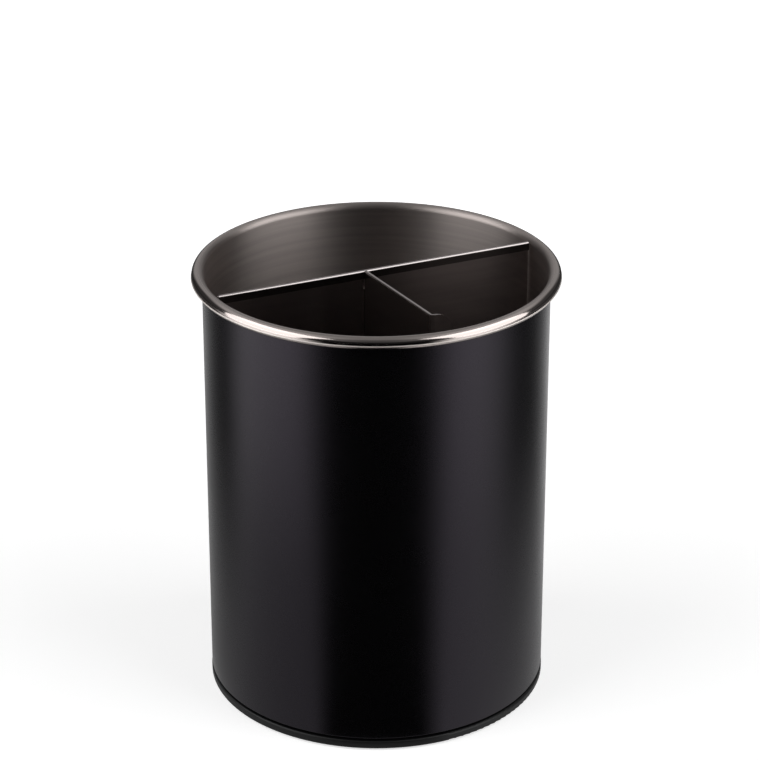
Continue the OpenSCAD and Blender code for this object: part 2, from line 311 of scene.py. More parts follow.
def soften(piece):
    apply_modifier(
        piece, "BEVEL", width=SOFT_EDGE, segments=SOFT_STEPS, limit_method="ANGLE",
        angle_limit=SOFT_ABOVE, harden_normals=False)


def smooth(piece):
    take(piece)
    bpy.ops.object.shade_smooth_by_angle(angle=SMOOTH_BELOW)


def cut_with(piece, cutter):
    """Cuts a closed shape out of a piece and throws the cutter away."""
    apply_modifier(piece, "BOOLEAN", operation="DIFFERENCE", object=cutter, solver="EXACT")
    bpy.data.objects.remove(cutter)


def settle(piece, body, finish, node):
    """Gives a finished piece its body and its material, and hides the node that it stands for."""
    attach(piece, body)
    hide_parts(node)
    dress(piece, finish)


def dress(piece, finish):
    piece.data.materials.clear()
    piece.data.materials.append(finish)


def dress_nodes(finish, *names):
    for name in names:
        dress(NODES[name], finish)


def dress_faces(piece, finish, test):
    """Gives a second finish to the faces that pass the test."""
    piece.data.materials.append(finish)
    for face in piece.data.polygons:
        if test(face):
            face.material_index = 1


# Material helpers

WHITE = (1.0, 1.0, 1.0, 1.0)
WHOLE = (0.0, 1.0)
METAL = 1.0

# Sockets of a Mix node that hold colours, which share their names with others
MIX_FROM = 6
MIX_TO = 7
MIX_RESULT = 2


class Nodes:
    """Short ways to place and link the nodes of one tree."""

    def __init__(self, tree):
        self.tree = tree

    def add(self, kind, **values):
        made = self.tree.nodes.new(kind)
        for key, value in values.items():
            setattr(made, key, value)
        return made

    def link(self, source, target):
        self.tree.links.new(source, target)

    def feed(self, socket, value):
        """Links a socket to another one, or sets it to a plain value."""
        if isinstance(value, bpy.types.NodeSocket):
            self.link(value, socket)
        else:
            socket.default_value = value

    def put(self, node, **values):
        """Feeds inputs of a node by name, with an underscore for each space."""
        for key, value in values.items():
            self.feed(node.inputs[key.replace("_", " ")], value)

    def math(self, operation, *values, clamp=False):
        made = self.add("ShaderNodeMath", operation=operation, use_clamp=clamp)
        for socket, value in zip(made.inputs, values):
            self.feed(socket, value)
        return made.outputs[0]

    def scaled(self, value, by, plus=0.0):
        return self.math("MULTIPLY_ADD", value, by, plus)

    def around(self, value, middle, spread):
        """Brings a noise that runs about a half to run about the middle."""
        return self.scaled(value, spread, middle - spread / 2)

    def product(self, first, *others):
        for other in others:
            first = self.math("MULTIPLY", first, other)
        return first

    def length(self, a, b):
        """Length of the way that goes a along one axis and b along the other."""
        return self.math("SQRT", self.scaled(a, a, self.product(b, b)))

    def mapped(self, value, band, start, end):
        """Goes softly from start to end while the value crosses the band."""
        made = self.add("ShaderNodeMapRange", interpolation_type="SMOOTHSTEP")
        for socket, number in zip(made.inputs, (value, *band, start, end)):
            self.feed(socket, number)
        return made.outputs[0]

    def noise(self, vector, scale, detail, rough):
        made = self.add("ShaderNodeTexNoise")
        self.put(made, Vector=vector, Scale=scale, Detail=detail, Roughness=rough)
        return made.outputs["Fac"]

    def stretched(self, vector, scale):
        made = self.add("ShaderNodeMapping")
        self.put(made, Vector=vector, Scale=scale)
        return made.outputs["Vector"]

    def place(self):
        return self.add("ShaderNodeTexCoord").outputs["Object"]

    def parts(self, vector):
        made = self.add("ShaderNodeSeparateXYZ")
        self.link(vector, made.inputs[0])
        return made.outputs

    def axis_radius(self, vector):
        """Distance from the turning axis."""
        x, y, _ = self.parts(vector)
        return self.length(x, y)

    def darkened(self, factor, base, share):
        """A colour that sinks to a share of itself as the factor rises."""
        made = self.add("ShaderNodeMix", data_type="RGBA")
        self.link(factor, made.inputs["Factor"])
        made.inputs[MIX_FROM].default_value = (*base, 1.0)
        made.inputs[MIX_TO].default_value = (*dimmed(base, share), 1.0)
        return made.outputs[MIX_RESULT]

    def bump(self, height, strength, distance):
        made = self.add("ShaderNodeBump")
        self.put(made, Strength=strength, Distance=distance, Height=height)
        return made.outputs["Normal"]

    def rays(self, *kinds):
        """1 for rays of the kinds named, 0 for others."""
        path = self.add("ShaderNodeLightPath")
        seen = 0.0
        for kind in kinds:
            seen = self.math("ADD", seen, path.outputs[kind], clamp=True)
        return seen


def dimmed(colour, share):
    return tuple(share * c for c in colour)


def new_group(name, *outputs):
    """Starts a shader node group that reads a vector and puts out named values."""
    tree = bpy.data.node_groups.new(name, "ShaderNodeTree")
    tree.interface.new_socket(name="Vector", in_out="INPUT", socket_type="NodeSocketVector")
    for label in outputs:
        tree.interface.new_socket(name=label, in_out="OUTPUT", socket_type="NodeSocketFloat")
    nodes = Nodes(tree)
    return tree, nodes, nodes.add("NodeGroupInput").outputs["Vector"], nodes.add("NodeGroupOutput")


def place_group(nodes, name, maker, vector):
    """Places a group that several finishes share, and builds it the first time."""
    tree = bpy.data.node_groups.get(name) or maker(name)
    made = nodes.add("ShaderNodeGroup", node_tree=tree)
    nodes.link(vector, made.inputs["Vector"])
    return made.outputs


# Grain of the finishes: scales in waves per metre, shares of a mix, and the bands that noise runs in
FINE_SHARE = 0.65
BROAD_STRETCH = (0.6, 0.6, 0.12)
SPECKLE_SCALE = 2600.0
CLOUD_SCALE = 38.0
RING_SCALE = 2600.0
POT_BRUSH = (14.0, 14.0, 3200.0)
SHEET_BRUSH = (30.0, 30.0, 2400.0)
TONE_BAND = (0.3, 0.7)
CLOUD_BAND = (0.35, 0.65)
FINE_BUMP = 0.02 * MM
SHEET_BUMP = 0.01 * MM
MOULD_BUMP = 0.04 * MM


def brushed_group(name):
    """Fine lines left by a brush: long along the brush, short across it."""
    tree, nodes, vector, put = new_group(name, "Lines", "Tone")
    fine = nodes.noise(vector, scale=1.0, detail=4.0, rough=0.7)
    broad = nodes.noise(nodes.stretched(vector, BROAD_STRETCH), scale=1.0, detail=2.0, rough=0.6)
    lines = nodes.scaled(fine, FINE_SHARE, nodes.product(broad, 1 - FINE_SHARE))
    nodes.put(put, Lines=lines, Tone=broad)
    return tree


def speckle_group(name):
    """Tiny unevenness of a sprayed or moulded skin."""
    tree, nodes, vector, put = new_group(name, "Fine", "Cloud")
    fine = nodes.noise(vector, SPECKLE_SCALE, detail=2.0, rough=0.5)
    cloud = nodes.noise(vector, CLOUD_SCALE, detail=3.0, rough=0.55)
    nodes.put(put, Fine=fine, Cloud=cloud)
    return tree


def brushed(nodes, place, stretch):
    return place_group(nodes, "Brushed lines", brushed_group, nodes.stretched(place, stretch))


def speckled(nodes):
    return place_group(nodes, "Skin speckle", speckle_group, nodes.place())


def new_material(name, base, metallic=0.0):
    """Starts a material of one colour, and gives its nodes and its shader."""
    made = bpy.data.materials.new(name)
    made.use_nodes = True
    made.diffuse_color = (*base, 1.0)
    nodes = Nodes(made.node_tree)
    shader = made.node_tree.nodes["Principled BSDF"]
    nodes.put(shader, Base_Color=(*base, 1.0), Metallic=metallic)
    return made, nodes, shader


def paint_finish():
    """Satin black, sprayed, with a faint violet cast in its sheen."""
    made, nodes, shader = new_material("Satin black paint", colours().paint)
    fine, cloud = speckled(nodes)
    uneven = nodes.around(cloud, middle=0.26, spread=0.06)
    nodes.put(
        shader, Specular_IOR_Level=0.37, Specular_Tint=(0.92, 0.81, 1.0, 1.0),
        Roughness=nodes.scaled(fine, by=0.03, plus=uneven),
        Normal=nodes.bump(fine, strength=0.05, distance=FINE_BUMP))
    return made


def pot_finish():
    """Steel that is brushed round the inside and polished on the rolled rim."""
    made, nodes, shader = new_material("Brushed and polished steel", colours().steel, METAL)
    place = nodes.place()
    curl = curl_radius()
    rim_band = (RIM_R - 1.5 * curl, RIM_R - 0.7 * curl)
    inside = nodes.mapped(nodes.axis_radius(place), rim_band, 1.0, 0.0)
    lines, tone = brushed(nodes, place, POT_BRUSH)
    rough = nodes.around(lines, middle=0.29, spread=0.16)
    # Random brush streaks, and with them the whole inside painted at least a tenth darker than the
    # rim: partly painted shade
    streak = nodes.product(nodes.mapped(tone, TONE_BAND, 0.35, 0.8), inside)
    tangent = nodes.add("ShaderNodeTangent", direction_type="RADIAL", axis="Z")
    nodes.put(
        shader, Anisotropic=0.8, Anisotropic_Rotation=0.25, Tangent=tangent.outputs[0],
        Roughness=nodes.scaled(rough, by=inside, plus=0.13),
        Base_Color=nodes.darkened(streak, colours().steel, share=0.68),
        Normal=nodes.bump(nodes.product(lines, inside), strength=0.25, distance=FINE_BUMP))
    return made


def edge_finish():
    """The matt cut edge of the rim's sheet."""
    made, nodes, shader = new_material("Sheared steel edge", colours().edge, METAL)
    fine, cloud = speckled(nodes)
    nodes.put(
        shader, Roughness=nodes.around(cloud, middle=0.6, spread=0.1),
        Normal=nodes.bump(fine, strength=0.1, distance=FINE_BUMP))
    return made


def sheet_finish(name, share):
    """Rolled sheet with fine level lines, in a share of its full brightness."""
    base = dimmed(colours().sheet, share)
    made, nodes, shader = new_material(name, base, METAL)
    lines, tone = brushed(nodes, nodes.place(), SHEET_BRUSH)
    streak = nodes.mapped(tone, TONE_BAND, 0.0, 0.6)
    nodes.put(
        shader, Roughness=nodes.around(lines, middle=0.15, spread=0.1),
        Base_Color=nodes.darkened(streak, base, share=0.85),
        Normal=nodes.bump(lines, strength=0.1, distance=SHEET_BUMP))
    return made


def floor_pan_finish():
    """Pressed sheet with fine rings round the axis."""
    made, nodes, shader = new_material("Pressed steel floor", colours().steel, METAL)
    rings = nodes.add("ShaderNodeCombineXYZ")
    nodes.put(rings, X=nodes.product(nodes.axis_radius(nodes.place()), RING_SCALE))
    grain = nodes.noise(rings.outputs[0], scale=1.0, detail=3.0, rough=0.6)
    nodes.put(
        shader, Roughness=nodes.around(grain, middle=0.3, spread=0.12),
        Normal=nodes.bump(grain, strength=0.15, distance=FINE_BUMP))
    return made


def moulded_finish(name, base, roughness, grain, gloss=0.5):
    """Plastic or rubber with the fine grain of its mould."""
    made, nodes, shader = new_material(name, base)
    fine, cloud = speckled(nodes)
    nodes.put(
        shader, Specular_IOR_Level=gloss,
        Roughness=nodes.around(cloud, roughness, spread=0.08),
        Normal=nodes.bump(fine, grain, MOULD_BUMP))
    return made


def plated_finish(name, base, roughness):
    """Plated or polished metal, a little clouded."""
    made, nodes, shader = new_material(name, base, METAL)
    fine, cloud = speckled(nodes)
    dull = nodes.mapped(cloud, CLOUD_BAND, 0.0, 0.4)
    nodes.put(
        shader, Roughness=nodes.around(cloud, roughness, spread=0.1),
        Base_Color=nodes.darkened(dull, base, share=0.8),
        Normal=nodes.bump(fine, strength=0.05, distance=FINE_BUMP))
    return made


# Pot and jacket

# Room left between the tip of the rim's curl and the jacket
TIP_GAP = 0.15 * MM
# Sheared edge of the sheet round the outside of the curl, in degrees about the curl's middle
EDGE_ANGLE = -14.5
EDGE_HALF = 9.0
EDGE_PROUD = 0.26 * MM
EDGE_LEAST = 0.01
# How a ring of the edge is told from the rings beside it and from the inside of the sheet
CURL_SKIN = 0.1 * MM
RING_WIDTH = 0.05 * MM
RING_HEIGHT = 0.002 * MM
HEIGHT_DIGITS = 6


def edge_share(co, centre, curl):
    """How far a point on the outside of the curl belongs to its narrow edge, from 0 to 1."""
    across = math.hypot(co.x, co.y) - centre[X]
    up = co.z - centre[Z]
    if across < 0 or math.hypot(across, up) < curl - CURL_SKIN:
        return 0.0
    off = (math.degrees(math.atan2(up, across)) - EDGE_ANGLE) / EDGE_HALF
    return math.cos(off * math.pi / 2) ** 2 if abs(off) < 1 else 0.0


def raise_edge(piece, centre, curl):
    """Pulls the narrow edge that runs round the foot of the curl out of its side, ring by ring."""
    take(piece)
    rings = {}
    for v in piece.data.vertices:
        share = edge_share(v.co, centre, curl)
        if share > EDGE_LEAST:
            rings[round(v.co.z, HEIGHT_DIGITS)] = (share, math.hypot(v.co.x, v.co.y))
    open_edit()
    for z, (share, radius) in sorted(rings.items()):
        pick_verts(lambda co: abs(co.z - z) < RING_HEIGHT
                   and abs(math.hypot(co.x, co.y) - radius) < RING_WIDTH)
        grow = 1 + share * EDGE_PROUD / radius
        bpy.ops.transform.resize(value=(grow, grow, 1.0), center_override=(0, 0, 0))
    close_edit()


class HOLDER_OT_pot(bpy.types.Operator):
    """Spins the steel pot with its rolled rim"""

    bl_idname = "holder.pot"
    bl_label = "Steel pot"

    def execute(self, context):
        sheet = sizes().pot_sheet
        curl = curl_radius()
        middle = curl - sheet / 2
        centre = (pot_inner() + curl, 0.0, RIM_TOP - curl)
        tip = 180 + math.degrees(math.acos((centre[X] - BODY_R - TIP_GAP) / curl))
        piece = arc("steel_pot", centre, middle, tip, 360 + 180, CURL_POINTS)
        top = (centre[X] - middle, 0.0, centre[Z])
        draw_on(top, evenly(top, (top[X], 0.0, POT_FOOT), SIDE_ROWS))
        turn_profile()
        thicken(piece, sheet)
        raise_edge(piece, centre, curl)
        smooth(piece)
        settle(piece, "drum", pot_finish(), "inner_pot")
        dress_faces(piece, edge_finish(),
                    lambda face: edge_share(face.center, centre, curl) > EDGE_LEAST)
        return {"FINISHED"}


class HOLDER_OT_jacket(bpy.types.Operator):
    """Spins the painted jacket with its turned-in lip"""

    bl_idname = "holder.jacket"
    bl_label = "Black jacket"

    def execute(self, context):
        s = sizes()
        centre = (BODY_R - s.jacket_bend, 0.0, BODY_FOOT + s.jacket_bend)
        middle = s.jacket_bend - s.jacket_sheet / 2
        piece = arc("black_jacket", centre, middle, 270, 360, BEND_POINTS)
        under = (centre[X], 0.0, centre[Z] - middle)
        draw_on(under, [(BODY_R - s.jacket_lip, 0.0, under[Z])])
        side = (centre[X] + middle, 0.0, centre[Z])
        draw_on(side, evenly(side, (side[X], 0.0, BODY_TOP), SIDE_ROWS))
        turn_profile()
        thicken(piece, s.jacket_sheet)
        smooth(piece)
        settle(piece, "drum", paint_finish(), "outer_jacket")
        return {"FINISHED"}


# Divider

# Sheet of the walls in the solids, their top corners, hems and the notch over the pivot
WALL_SHEET = 0.8 * MM
WALL_CORNER = 1.5 * MM
HEM_H = 3.8 * MM
HEM_FLARE = -0.06 * MM
HEM_STEPS = 10
HEM_FOOT = WALL_TOP - HEM_H
HEM_GAP = 0.1 * MM
FOLD_FOOT = WALL_TOP - WALL_SHEET
FOLD_SLACK = 0.1 * MM
NOTCH_R = 12.0 * MM
NOTCH_H = 5.5 * MM
NOTCH_POINTS = 96
FACE_Y = -WALL_SHEET / 2
FRONT = Vector((0, -1, 0))
# Faces turned at least this far to a side belong to it
FACING = 0.9
# Share of the sheet's brightness on the hem's outer faces: painted shade, a dimmed copy of the bright
# sheet in place of the darker reflection the hem shows
HEM_PAINTED_SHADE_SHARE = 0.3

# Half wall in plan: its place, its turn off square, its bends and its two flanges
HALF_X = -5.7 * MM
HALF_TURN = math.radians(4.8)
WALL_BEND = 2.0 * MM
BEND_MIDDLE = WALL_BEND - WALL_SHEET / 2
BEND_AT = Vector((HALF_X - WALL_SHEET / 2 + WALL_BEND, FACE_Y - WALL_BEND, WALL_FOOT))
ALONG = Vector((math.sin(HALF_TURN), -math.cos(HALF_TURN), 0.0))
ACROSS = Vector((math.cos(HALF_TURN), math.sin(HALF_TURN), 0.0))
WALL_STEPS = 6
BEND_STEPS = 6
END_CLEAR = 16.0 * MM
END_REACH = 10.0 * MM - WALL_BEND
END_ROUND = 8.6 * MM
END_STEPS = 12
WELD_REACH = 12.0 * MM - WALL_BEND
WELD_ROUND = 4.0 * MM
WELD_TOP = HEM_FOOT - 5.0 * MM
WELD_SHOULDER = WELD_TOP - WELD_ROUND - 0.5 * MM
WELD_STEPS = 10
WELD_START = BEND_AT + Vector((0, BEND_MIDDLE, 0))

# Spot-weld marks: how many, where along the flange and up it, and their size
MARKS = 5
MARK_ALONG = 0.45
MARK_FIRST = 0.7
MARK_SPARE = 0.4
MARK_SIZE = (2.2 * MM, 0.12 * MM, 2.2 * MM)
MARK_SEGMENTS = 28
MARK_RINGS = 16


def fold_radius(sheet):
    """Radius of a hem's fold at the middle of the sheet."""
    return (2 * WALL_SHEET - sheet) / 2


def fold_hem(foot, fold_r, side):
    """Folds what is selected over to one side and down again, as a hem with a thin slit."""
    turns = [math.pi * (i + 1) / HEM_STEPS for i in range(HEM_STEPS)]
    path = [side * fold_r * (1 - math.cos(a)) + Vector((0, 0, fold_r * math.sin(a))) for a in turns]
    path.append(side * (2 * fold_r + HEM_FLARE) - Vector((0, 0, HEM_H - WALL_SHEET)))
    extrude_through(foot, [foot + step for step in path])


def finish_sheet(piece, sheet):
    """Gives a folded sheet its thickness, the notch over the pivot and soft edges."""
    merge_and_face()
    close_edit()
    thicken(piece, sheet)
    clear_selection()
    bpy.ops.mesh.primitive_cylinder_add(
        vertices=NOTCH_POINTS, radius=NOTCH_R, depth=2 * NOTCH_H, location=(0, 0, WALL_FOOT))
    cut_with(piece, bpy.context.object)
    soften(piece)


def press_welds(piece, face_y):
    """Presses the row of round electrode marks of the spot welds into a face that looks along Y."""
    x = BEND_AT.x + WELD_REACH * MARK_ALONG
    for i in range(MARKS):
        z = WALL_FOOT + (WELD_TOP - WALL_FOOT) * (i + MARK_FIRST) / (MARKS + MARK_SPARE)
        clear_selection()
        bpy.ops.mesh.primitive_uv_sphere_add(
            segments=MARK_SEGMENTS, ring_count=MARK_RINGS, radius=1.0, location=(x, face_y, z),
            scale=MARK_SIZE)
        cut_with(piece, name_new("weld_mark"))


def finish_wall(piece, node, weld_y, hem_side, bright, dull):
    """Marks the welds of a wall and gives it its finish, with painted shade on its hem: a darker copy
    of the same sheet.
    """
    press_welds(piece, weld_y)
    smooth(piece)
    apply_modifier(piece, "WEIGHTED_NORMAL", weight=100, keep_sharp=True)
    settle(piece, "divider", bright, node)
    # The hem's outer faces take the darker finish, which is painted shade
    dress_faces(piece, dull, lambda face: HEM_FOOT < face.center.z < FOLD_FOOT + FOLD_SLACK
                and face.normal.dot(hem_side) > FACING)


def cross_wall_piece(sheet):
    """Stands up a long sheet, folds its hem to the front and rounds its top corners."""
    fold_r = fold_radius(sheet)
    y = FACE_Y + fold_r
    clear_selection()
    bpy.ops.mesh.primitive_plane_add(size=1.0, rotation=(math.pi / 2, 0, 0))
    plane = bpy.context.object
    plane.location = (0, y, (WALL_FOOT + FOLD_FOOT) / 2)
    plane.scale = (2 * CROSS_HALF, FOLD_FOOT - WALL_FOOT, 1.0)
    piece = name_new("divider_cross_wall")
    open_edit()
    pick_verts(lambda co: co.z > FOLD_FOOT - SLACK)
    fold_hem(Vector((0, y, FOLD_FOOT)), fold_r, FRONT)
    for co in vertex_places():
        over = co.z - (WALL_TOP - WALL_CORNER)
        if over > 0:
            shift(co, (-math.copysign(round_drop(WALL_CORNER, over), co.x), 0, 0))
    finish_sheet(piece, sheet)
    return piece


def on_wall(along, across):
    """A place at the foot of the half wall, along and across it from the middle of its bend."""
    return BEND_AT + along * ALONG + across * ACROSS


def along_of(co):
    return (co - BEND_AT).dot(ALONG)


def across_of(co):
    return (co - BEND_AT).dot(ACROSS)


def draw_half_plan(length):
    """Draws the half wall in plan: bend, weld flange, straight wall, bend and end flange."""
    piece = arc("divider_half_wall", BEND_AT, BEND_MIDDLE, 90, 180, BEND_POINTS, up=Y)
    draw_on(WELD_START, evenly(WELD_START, WELD_START + Vector((WELD_REACH, 0, 0)), WELD_STEPS))
    wall = [on_wall(length * i / WALL_STEPS, -BEND_MIDDLE) for i in range(WALL_STEPS + 1)]
    turns = [math.pi / 2 * (i + 1) / BEND_STEPS for i in range(BEND_STEPS)]
    bend = [on_wall(length + BEND_MIDDLE * math.sin(a), -BEND_MIDDLE * math.cos(a)) for a in turns]
    end = length + BEND_MIDDLE
    flange = evenly(on_wall(end, 0), on_wall(end, END_REACH), END_STEPS)
    draw_on(BEND_AT - Vector((BEND_MIDDLE, 0, 0)), wall + bend + flange)
    return piece


def round_weld_flange():
    """Rounds the upper corner of the weld flange."""
    for i in range(WELD_STEPS):
        reach = WELD_REACH * (i + 1) / WELD_STEPS
        over = reach - (WELD_REACH - WELD_ROUND)
        if over > 0:
            place = (WELD_START.x + reach, WELD_START.y, WELD_TOP)
            shift(place, (0, 0, -round_drop(WELD_ROUND, over)))


def round_end_flange(length):
    """Rounds the upper corner of the flange at the free end."""
    for co in vertex_places():
        over = across_of(co) - (END_REACH - END_ROUND)
        fall = WALL_TOP - round_drop(END_ROUND, over) - co.z
        on_flange = co.z > FOLD_FOOT - SLACK and along_of(co) > length + SLACK
        if on_flange and over > 0 and fall < 0:
            shift(co, (0, 0, fall))


def raise_half_wall(length):
    """Raises the weld flange to its own height, the wall to its fold and the end flange to the top."""
    bpy.ops.mesh.select_all(action="SELECT")
    extrude_by((0, 0, WELD_SHOULDER - WALL_FOOT))
    extrude_by((0, 0, WELD_TOP - WELD_SHOULDER))
    round_weld_flange()
    pick_verts(lambda co: co.z > WELD_TOP - SLACK and along_of(co) > -SLACK)
    extrude_by((0, 0, FOLD_FOOT - WELD_TOP))
    pick_verts(lambda co: co.z > FOLD_FOOT - SLACK and along_of(co) > length - SLACK)
    extrude_by((0, 0, WALL_TOP - FOLD_FOOT))
    round_end_flange(length)


def half_wall_piece(sheet):
    """Draws the half wall in plan, raises it, folds its hem and brings it up to the cross wall."""
    length = FACE_Y + pot_inner() - END_CLEAR - 2 * WALL_BEND
    piece = draw_half_plan(length)
    raise_half_wall(length)
    pick_verts(lambda co: abs(co.z - FOLD_FOOT) < SLACK and across_of(co) < 0
               and -SLACK < along_of(co) < length + SLACK)
    fold_hem(Vector((0, 0, FOLD_FOOT)), fold_radius(sheet), ACROSS)
    pick_verts(lambda co: abs(along_of(co)) < SLACK and co.z > WELD_TOP - SLACK)
    extrude_by(-(WALL_BEND - WALL_SHEET - HEM_GAP) * ALONG)
    finish_sheet(piece, sheet)
    return piece


class HOLDER_OT_divider(bpy.types.Operator):
    """Folds the two sheets of the lift-out divider"""

    bl_idname = "holder.divider"
    bl_label = "Divider"

    def execute(self, context):
        sheet = sizes().divider_sheet
        bright = sheet_finish("Bright rolled sheet", share=1.0)
        # Painted shade: the hem gets a dimmed copy of the bright sheet
        dull = sheet_finish("Hem with painted shade", HEM_PAINTED_SHADE_SHARE)
        cross = cross_wall_piece(sheet)
        finish_wall(cross, "cross_wall", -FACE_Y, FRONT, bright, dull)
        half = half_wall_piece(sheet)
        finish_wall(half, "half_wall", FACE_Y - WALL_SHEET, ACROSS, bright, dull)
        return {"FINISHED"}


# Pieces that keep their solids


class HOLDER_OT_floor(bpy.types.Operator):
    """Finishes the floor of the pot and the bright fasteners"""

    bl_idname = "holder.pot_floor"
    bl_label = "Pot floor"

    def execute(self, context):
        dress_nodes(floor_pan_finish(), "floor_pan")
        bright = plated_finish("Bright fasteners", colours().fasteners, roughness=0.22)
        dress_nodes(bright, "pivot_bolt", "head_washer", "upper_race_rivets", "lower_race_screws")
        return {"FINISHED"}


class HOLDER_OT_turntable(bpy.types.Operator):
    """Finishes the base plate, its feet and the ball bearing"""

    bl_idname = "holder.turntable"
    bl_label = "Turntable"

    def execute(self, context):
        c = colours()
        plastic = moulded_finish(
            "Moulded black plastic", c.plastic, roughness=0.45, grain=0.25, gloss=0.3)
        dress_nodes(plastic, "base_plate")
        dress_nodes(moulded_finish("Foot rubber", c.rubber, roughness=0.8, grain=0.5), "rubber_feet")
        acetal = moulded_finish("Acetal", c.acetal, roughness=0.4, grain=0.1)
        dress_nodes(acetal, "pivot_bush", "ball_cage")
        zinc = plated_finish("Zinc plate", c.zinc, roughness=0.34)
        dress_nodes(zinc, "lower_race", "upper_race", "thrust_washer", "lock_nut")
        dress_nodes(plated_finish("Ball steel", c.balls, roughness=0.1), "bearing_balls")
        return {"FINISHED"}


# Stage


def turn_band(low, high):
    """A band of angles."""
    return math.radians(low), math.radians(high)


# Camera, at the photograph's viewing angle, in metres and in pixels of its frame
PHOTO_TURN = math.radians(24.8)
CAMERA_BACK = 1.0802
CAMERA_UP = 0.6285
CAMERA_PITCH = math.radians(24.4004)
CLIP_NEAR = 0.01
CLIP_FAR = 50.0
FOCAL_PX = 2787.4
FRAME_PX = 760.0
AXIS_PX = 376.12
SENSOR = 36.0

# Floor: its size, and how its white weakens towards the holder
FLOOR_SIZE = 40.0
FLOOR_DOWN = 0.02 * MM
FLOOR_BAND = (0.12, 0.8)
FLOOR_NEAR = 0.61

# Lamps on both sides of the camera
SOFTBOX_ASIDE = math.radians(72.0)
SOFTBOX_UP = math.radians(28.0)
SOFTBOX_AWAY = 1.3
SOFTBOX_WIDTH = 1.4
SOFTBOX_HEIGHT = 1.5
SOFTBOX_POWER = 13.5
SOFTBOX_AIM = Vector((0.0, 0.0, 0.1))

# Surroundings: brightness of walls and ceiling, and the bands of direction between them
WORLD_FILL = 0.2
BACK_LEVEL = 0.38
FRONT_LEVEL = 0.1
WALL_DEPTH = (-0.3, 0.5)
HORIZON_LEVEL = 0.35
HORIZON_RISE = (0.0, 0.22)
CORNER_LEVEL = 0.12
CORNER_TURN = turn_band(18.0, 36.0)
CORNER_RISE = (0.4, 0.7)
CORNER_SIDES = (-0.2, 0.2)
CORNER_RIGHT = 0.85
CEILING_LEVEL = 0.27
CEILING_RISE = (0.45, 0.72)
CEILING_DEPTH = (0.1, 0.5)
CEILING_FRONT = 0.35
SHOULDER_LEVEL = 0.58
SHOULDER_SIDES = (0.05, 0.45)

# Felt on the floor: its place, and the turns from the camera's side between felt and pale floor
CARD_SIZE = 39.0
CARD_APEX = 0.04
CARD_UP = 0.4 * MM
CARD_SEAM = (-0.01, 0.01)
FELT_COLOUR = (0.004, 0.004, 0.004)
FELT_FRONT = turn_band(30.0, 57.0)
FELT_LEFT = turn_band(90.0, 114.0)
FELT_RIGHT = turn_band(66.0, 106.0)
FELT_BEHIND = turn_band(119.0, 168.0)
# Shares of pale floor by distance from the axis, near ones for the left and the right side
SIDE_BAND = (0.2, 0.42)
SIDE_NEAR = (0.48, 0.72)
REAR_BAND = (0.06, 0.36)
REAR_NEAR = (0.4, 0.52)
REAR_FAR = 0.05
BEHIND_BAND = (0.43, 0.55)
BEHIND_NEAR = (0.6, 1.0)
BEHIND_FAR = 0.03
FOOT_BAND = (0.077, 0.0785)
FOOT_NEAR = 0.5


def on_camera_side(distance, up):
    """A place on the camera's side of the axis."""
    return (-distance * math.sin(PHOTO_TURN), -distance * math.cos(PHOTO_TURN), up)


def add_camera():
    bpy.ops.object.camera_add(location=on_camera_side(CAMERA_BACK, CAMERA_UP))
    camera = bpy.context.object
    camera.name = "photo_camera"
    aside = math.atan((FRAME_PX / 2 - AXIS_PX) / FOCAL_PX)
    camera.rotation_euler = (math.pi / 2 - CAMERA_PITCH, 0.0, -PHOTO_TURN - aside)
    camera.data.sensor_width = SENSOR
    camera.data.lens = FOCAL_PX * SENSOR / FRAME_PX
    camera.data.clip_start = CLIP_NEAR
    camera.data.clip_end = CLIP_FAR
    bpy.context.scene.camera = camera


def add_softbox(name, aside):
    """An area lamp that stands aside from the camera by an angle and faces the holder."""
    turn = aside - math.pi / 2 - PHOTO_TURN
    flat = math.cos(SOFTBOX_UP)
    way = Vector((flat * math.cos(turn), flat * math.sin(turn), math.sin(SOFTBOX_UP)))
    place = SOFTBOX_AIM + SOFTBOX_AWAY * way
    bpy.ops.object.light_add(type="AREA", location=place)
    lamp = bpy.context.object
    lamp.name = name
    lamp.rotation_euler = (SOFTBOX_AIM - place).to_track_quat("-Z", "Y").to_euler()
    lamp.data.shape = "RECTANGLE"
    lamp.data.size = SOFTBOX_WIDTH
    lamp.data.size_y = SOFTBOX_HEIGHT
    lamp.data.energy = SOFTBOX_POWER


def glowing(nodes, shader, away):
    """Adds the white that the camera and bright metal see on the floor, weaker near the holder."""
    seen = nodes.rays("Is Camera Ray", "Is Glossy Ray", "Is Transmission Ray")
    strength = nodes.product(seen, nodes.mapped(away, FLOOR_BAND, FLOOR_NEAR, 1.0))
    glow = nodes.add("ShaderNodeEmission")
    nodes.put(glow, Color=WHITE, Strength=strength)
    both = nodes.add("ShaderNodeAddShader")
    nodes.link(shader.outputs[0], both.inputs[0])
    nodes.link(glow.outputs[0], both.inputs[1])
    return both.outputs[0]


def matt(nodes, shader, roughness):
    nodes.put(shader, Roughness=roughness, Specular_IOR_Level=0.0)


def show(made, nodes, surface):
    nodes.link(surface, made.node_tree.nodes["Material Output"].inputs["Surface"])


def floor_material():
    made, nodes, shader = new_material("Pale floor", colours().floor)
    matt(nodes, shader, 0.9)
    show(made, nodes, glowing(nodes, shader, nodes.axis_radius(nodes.place())))
    return made


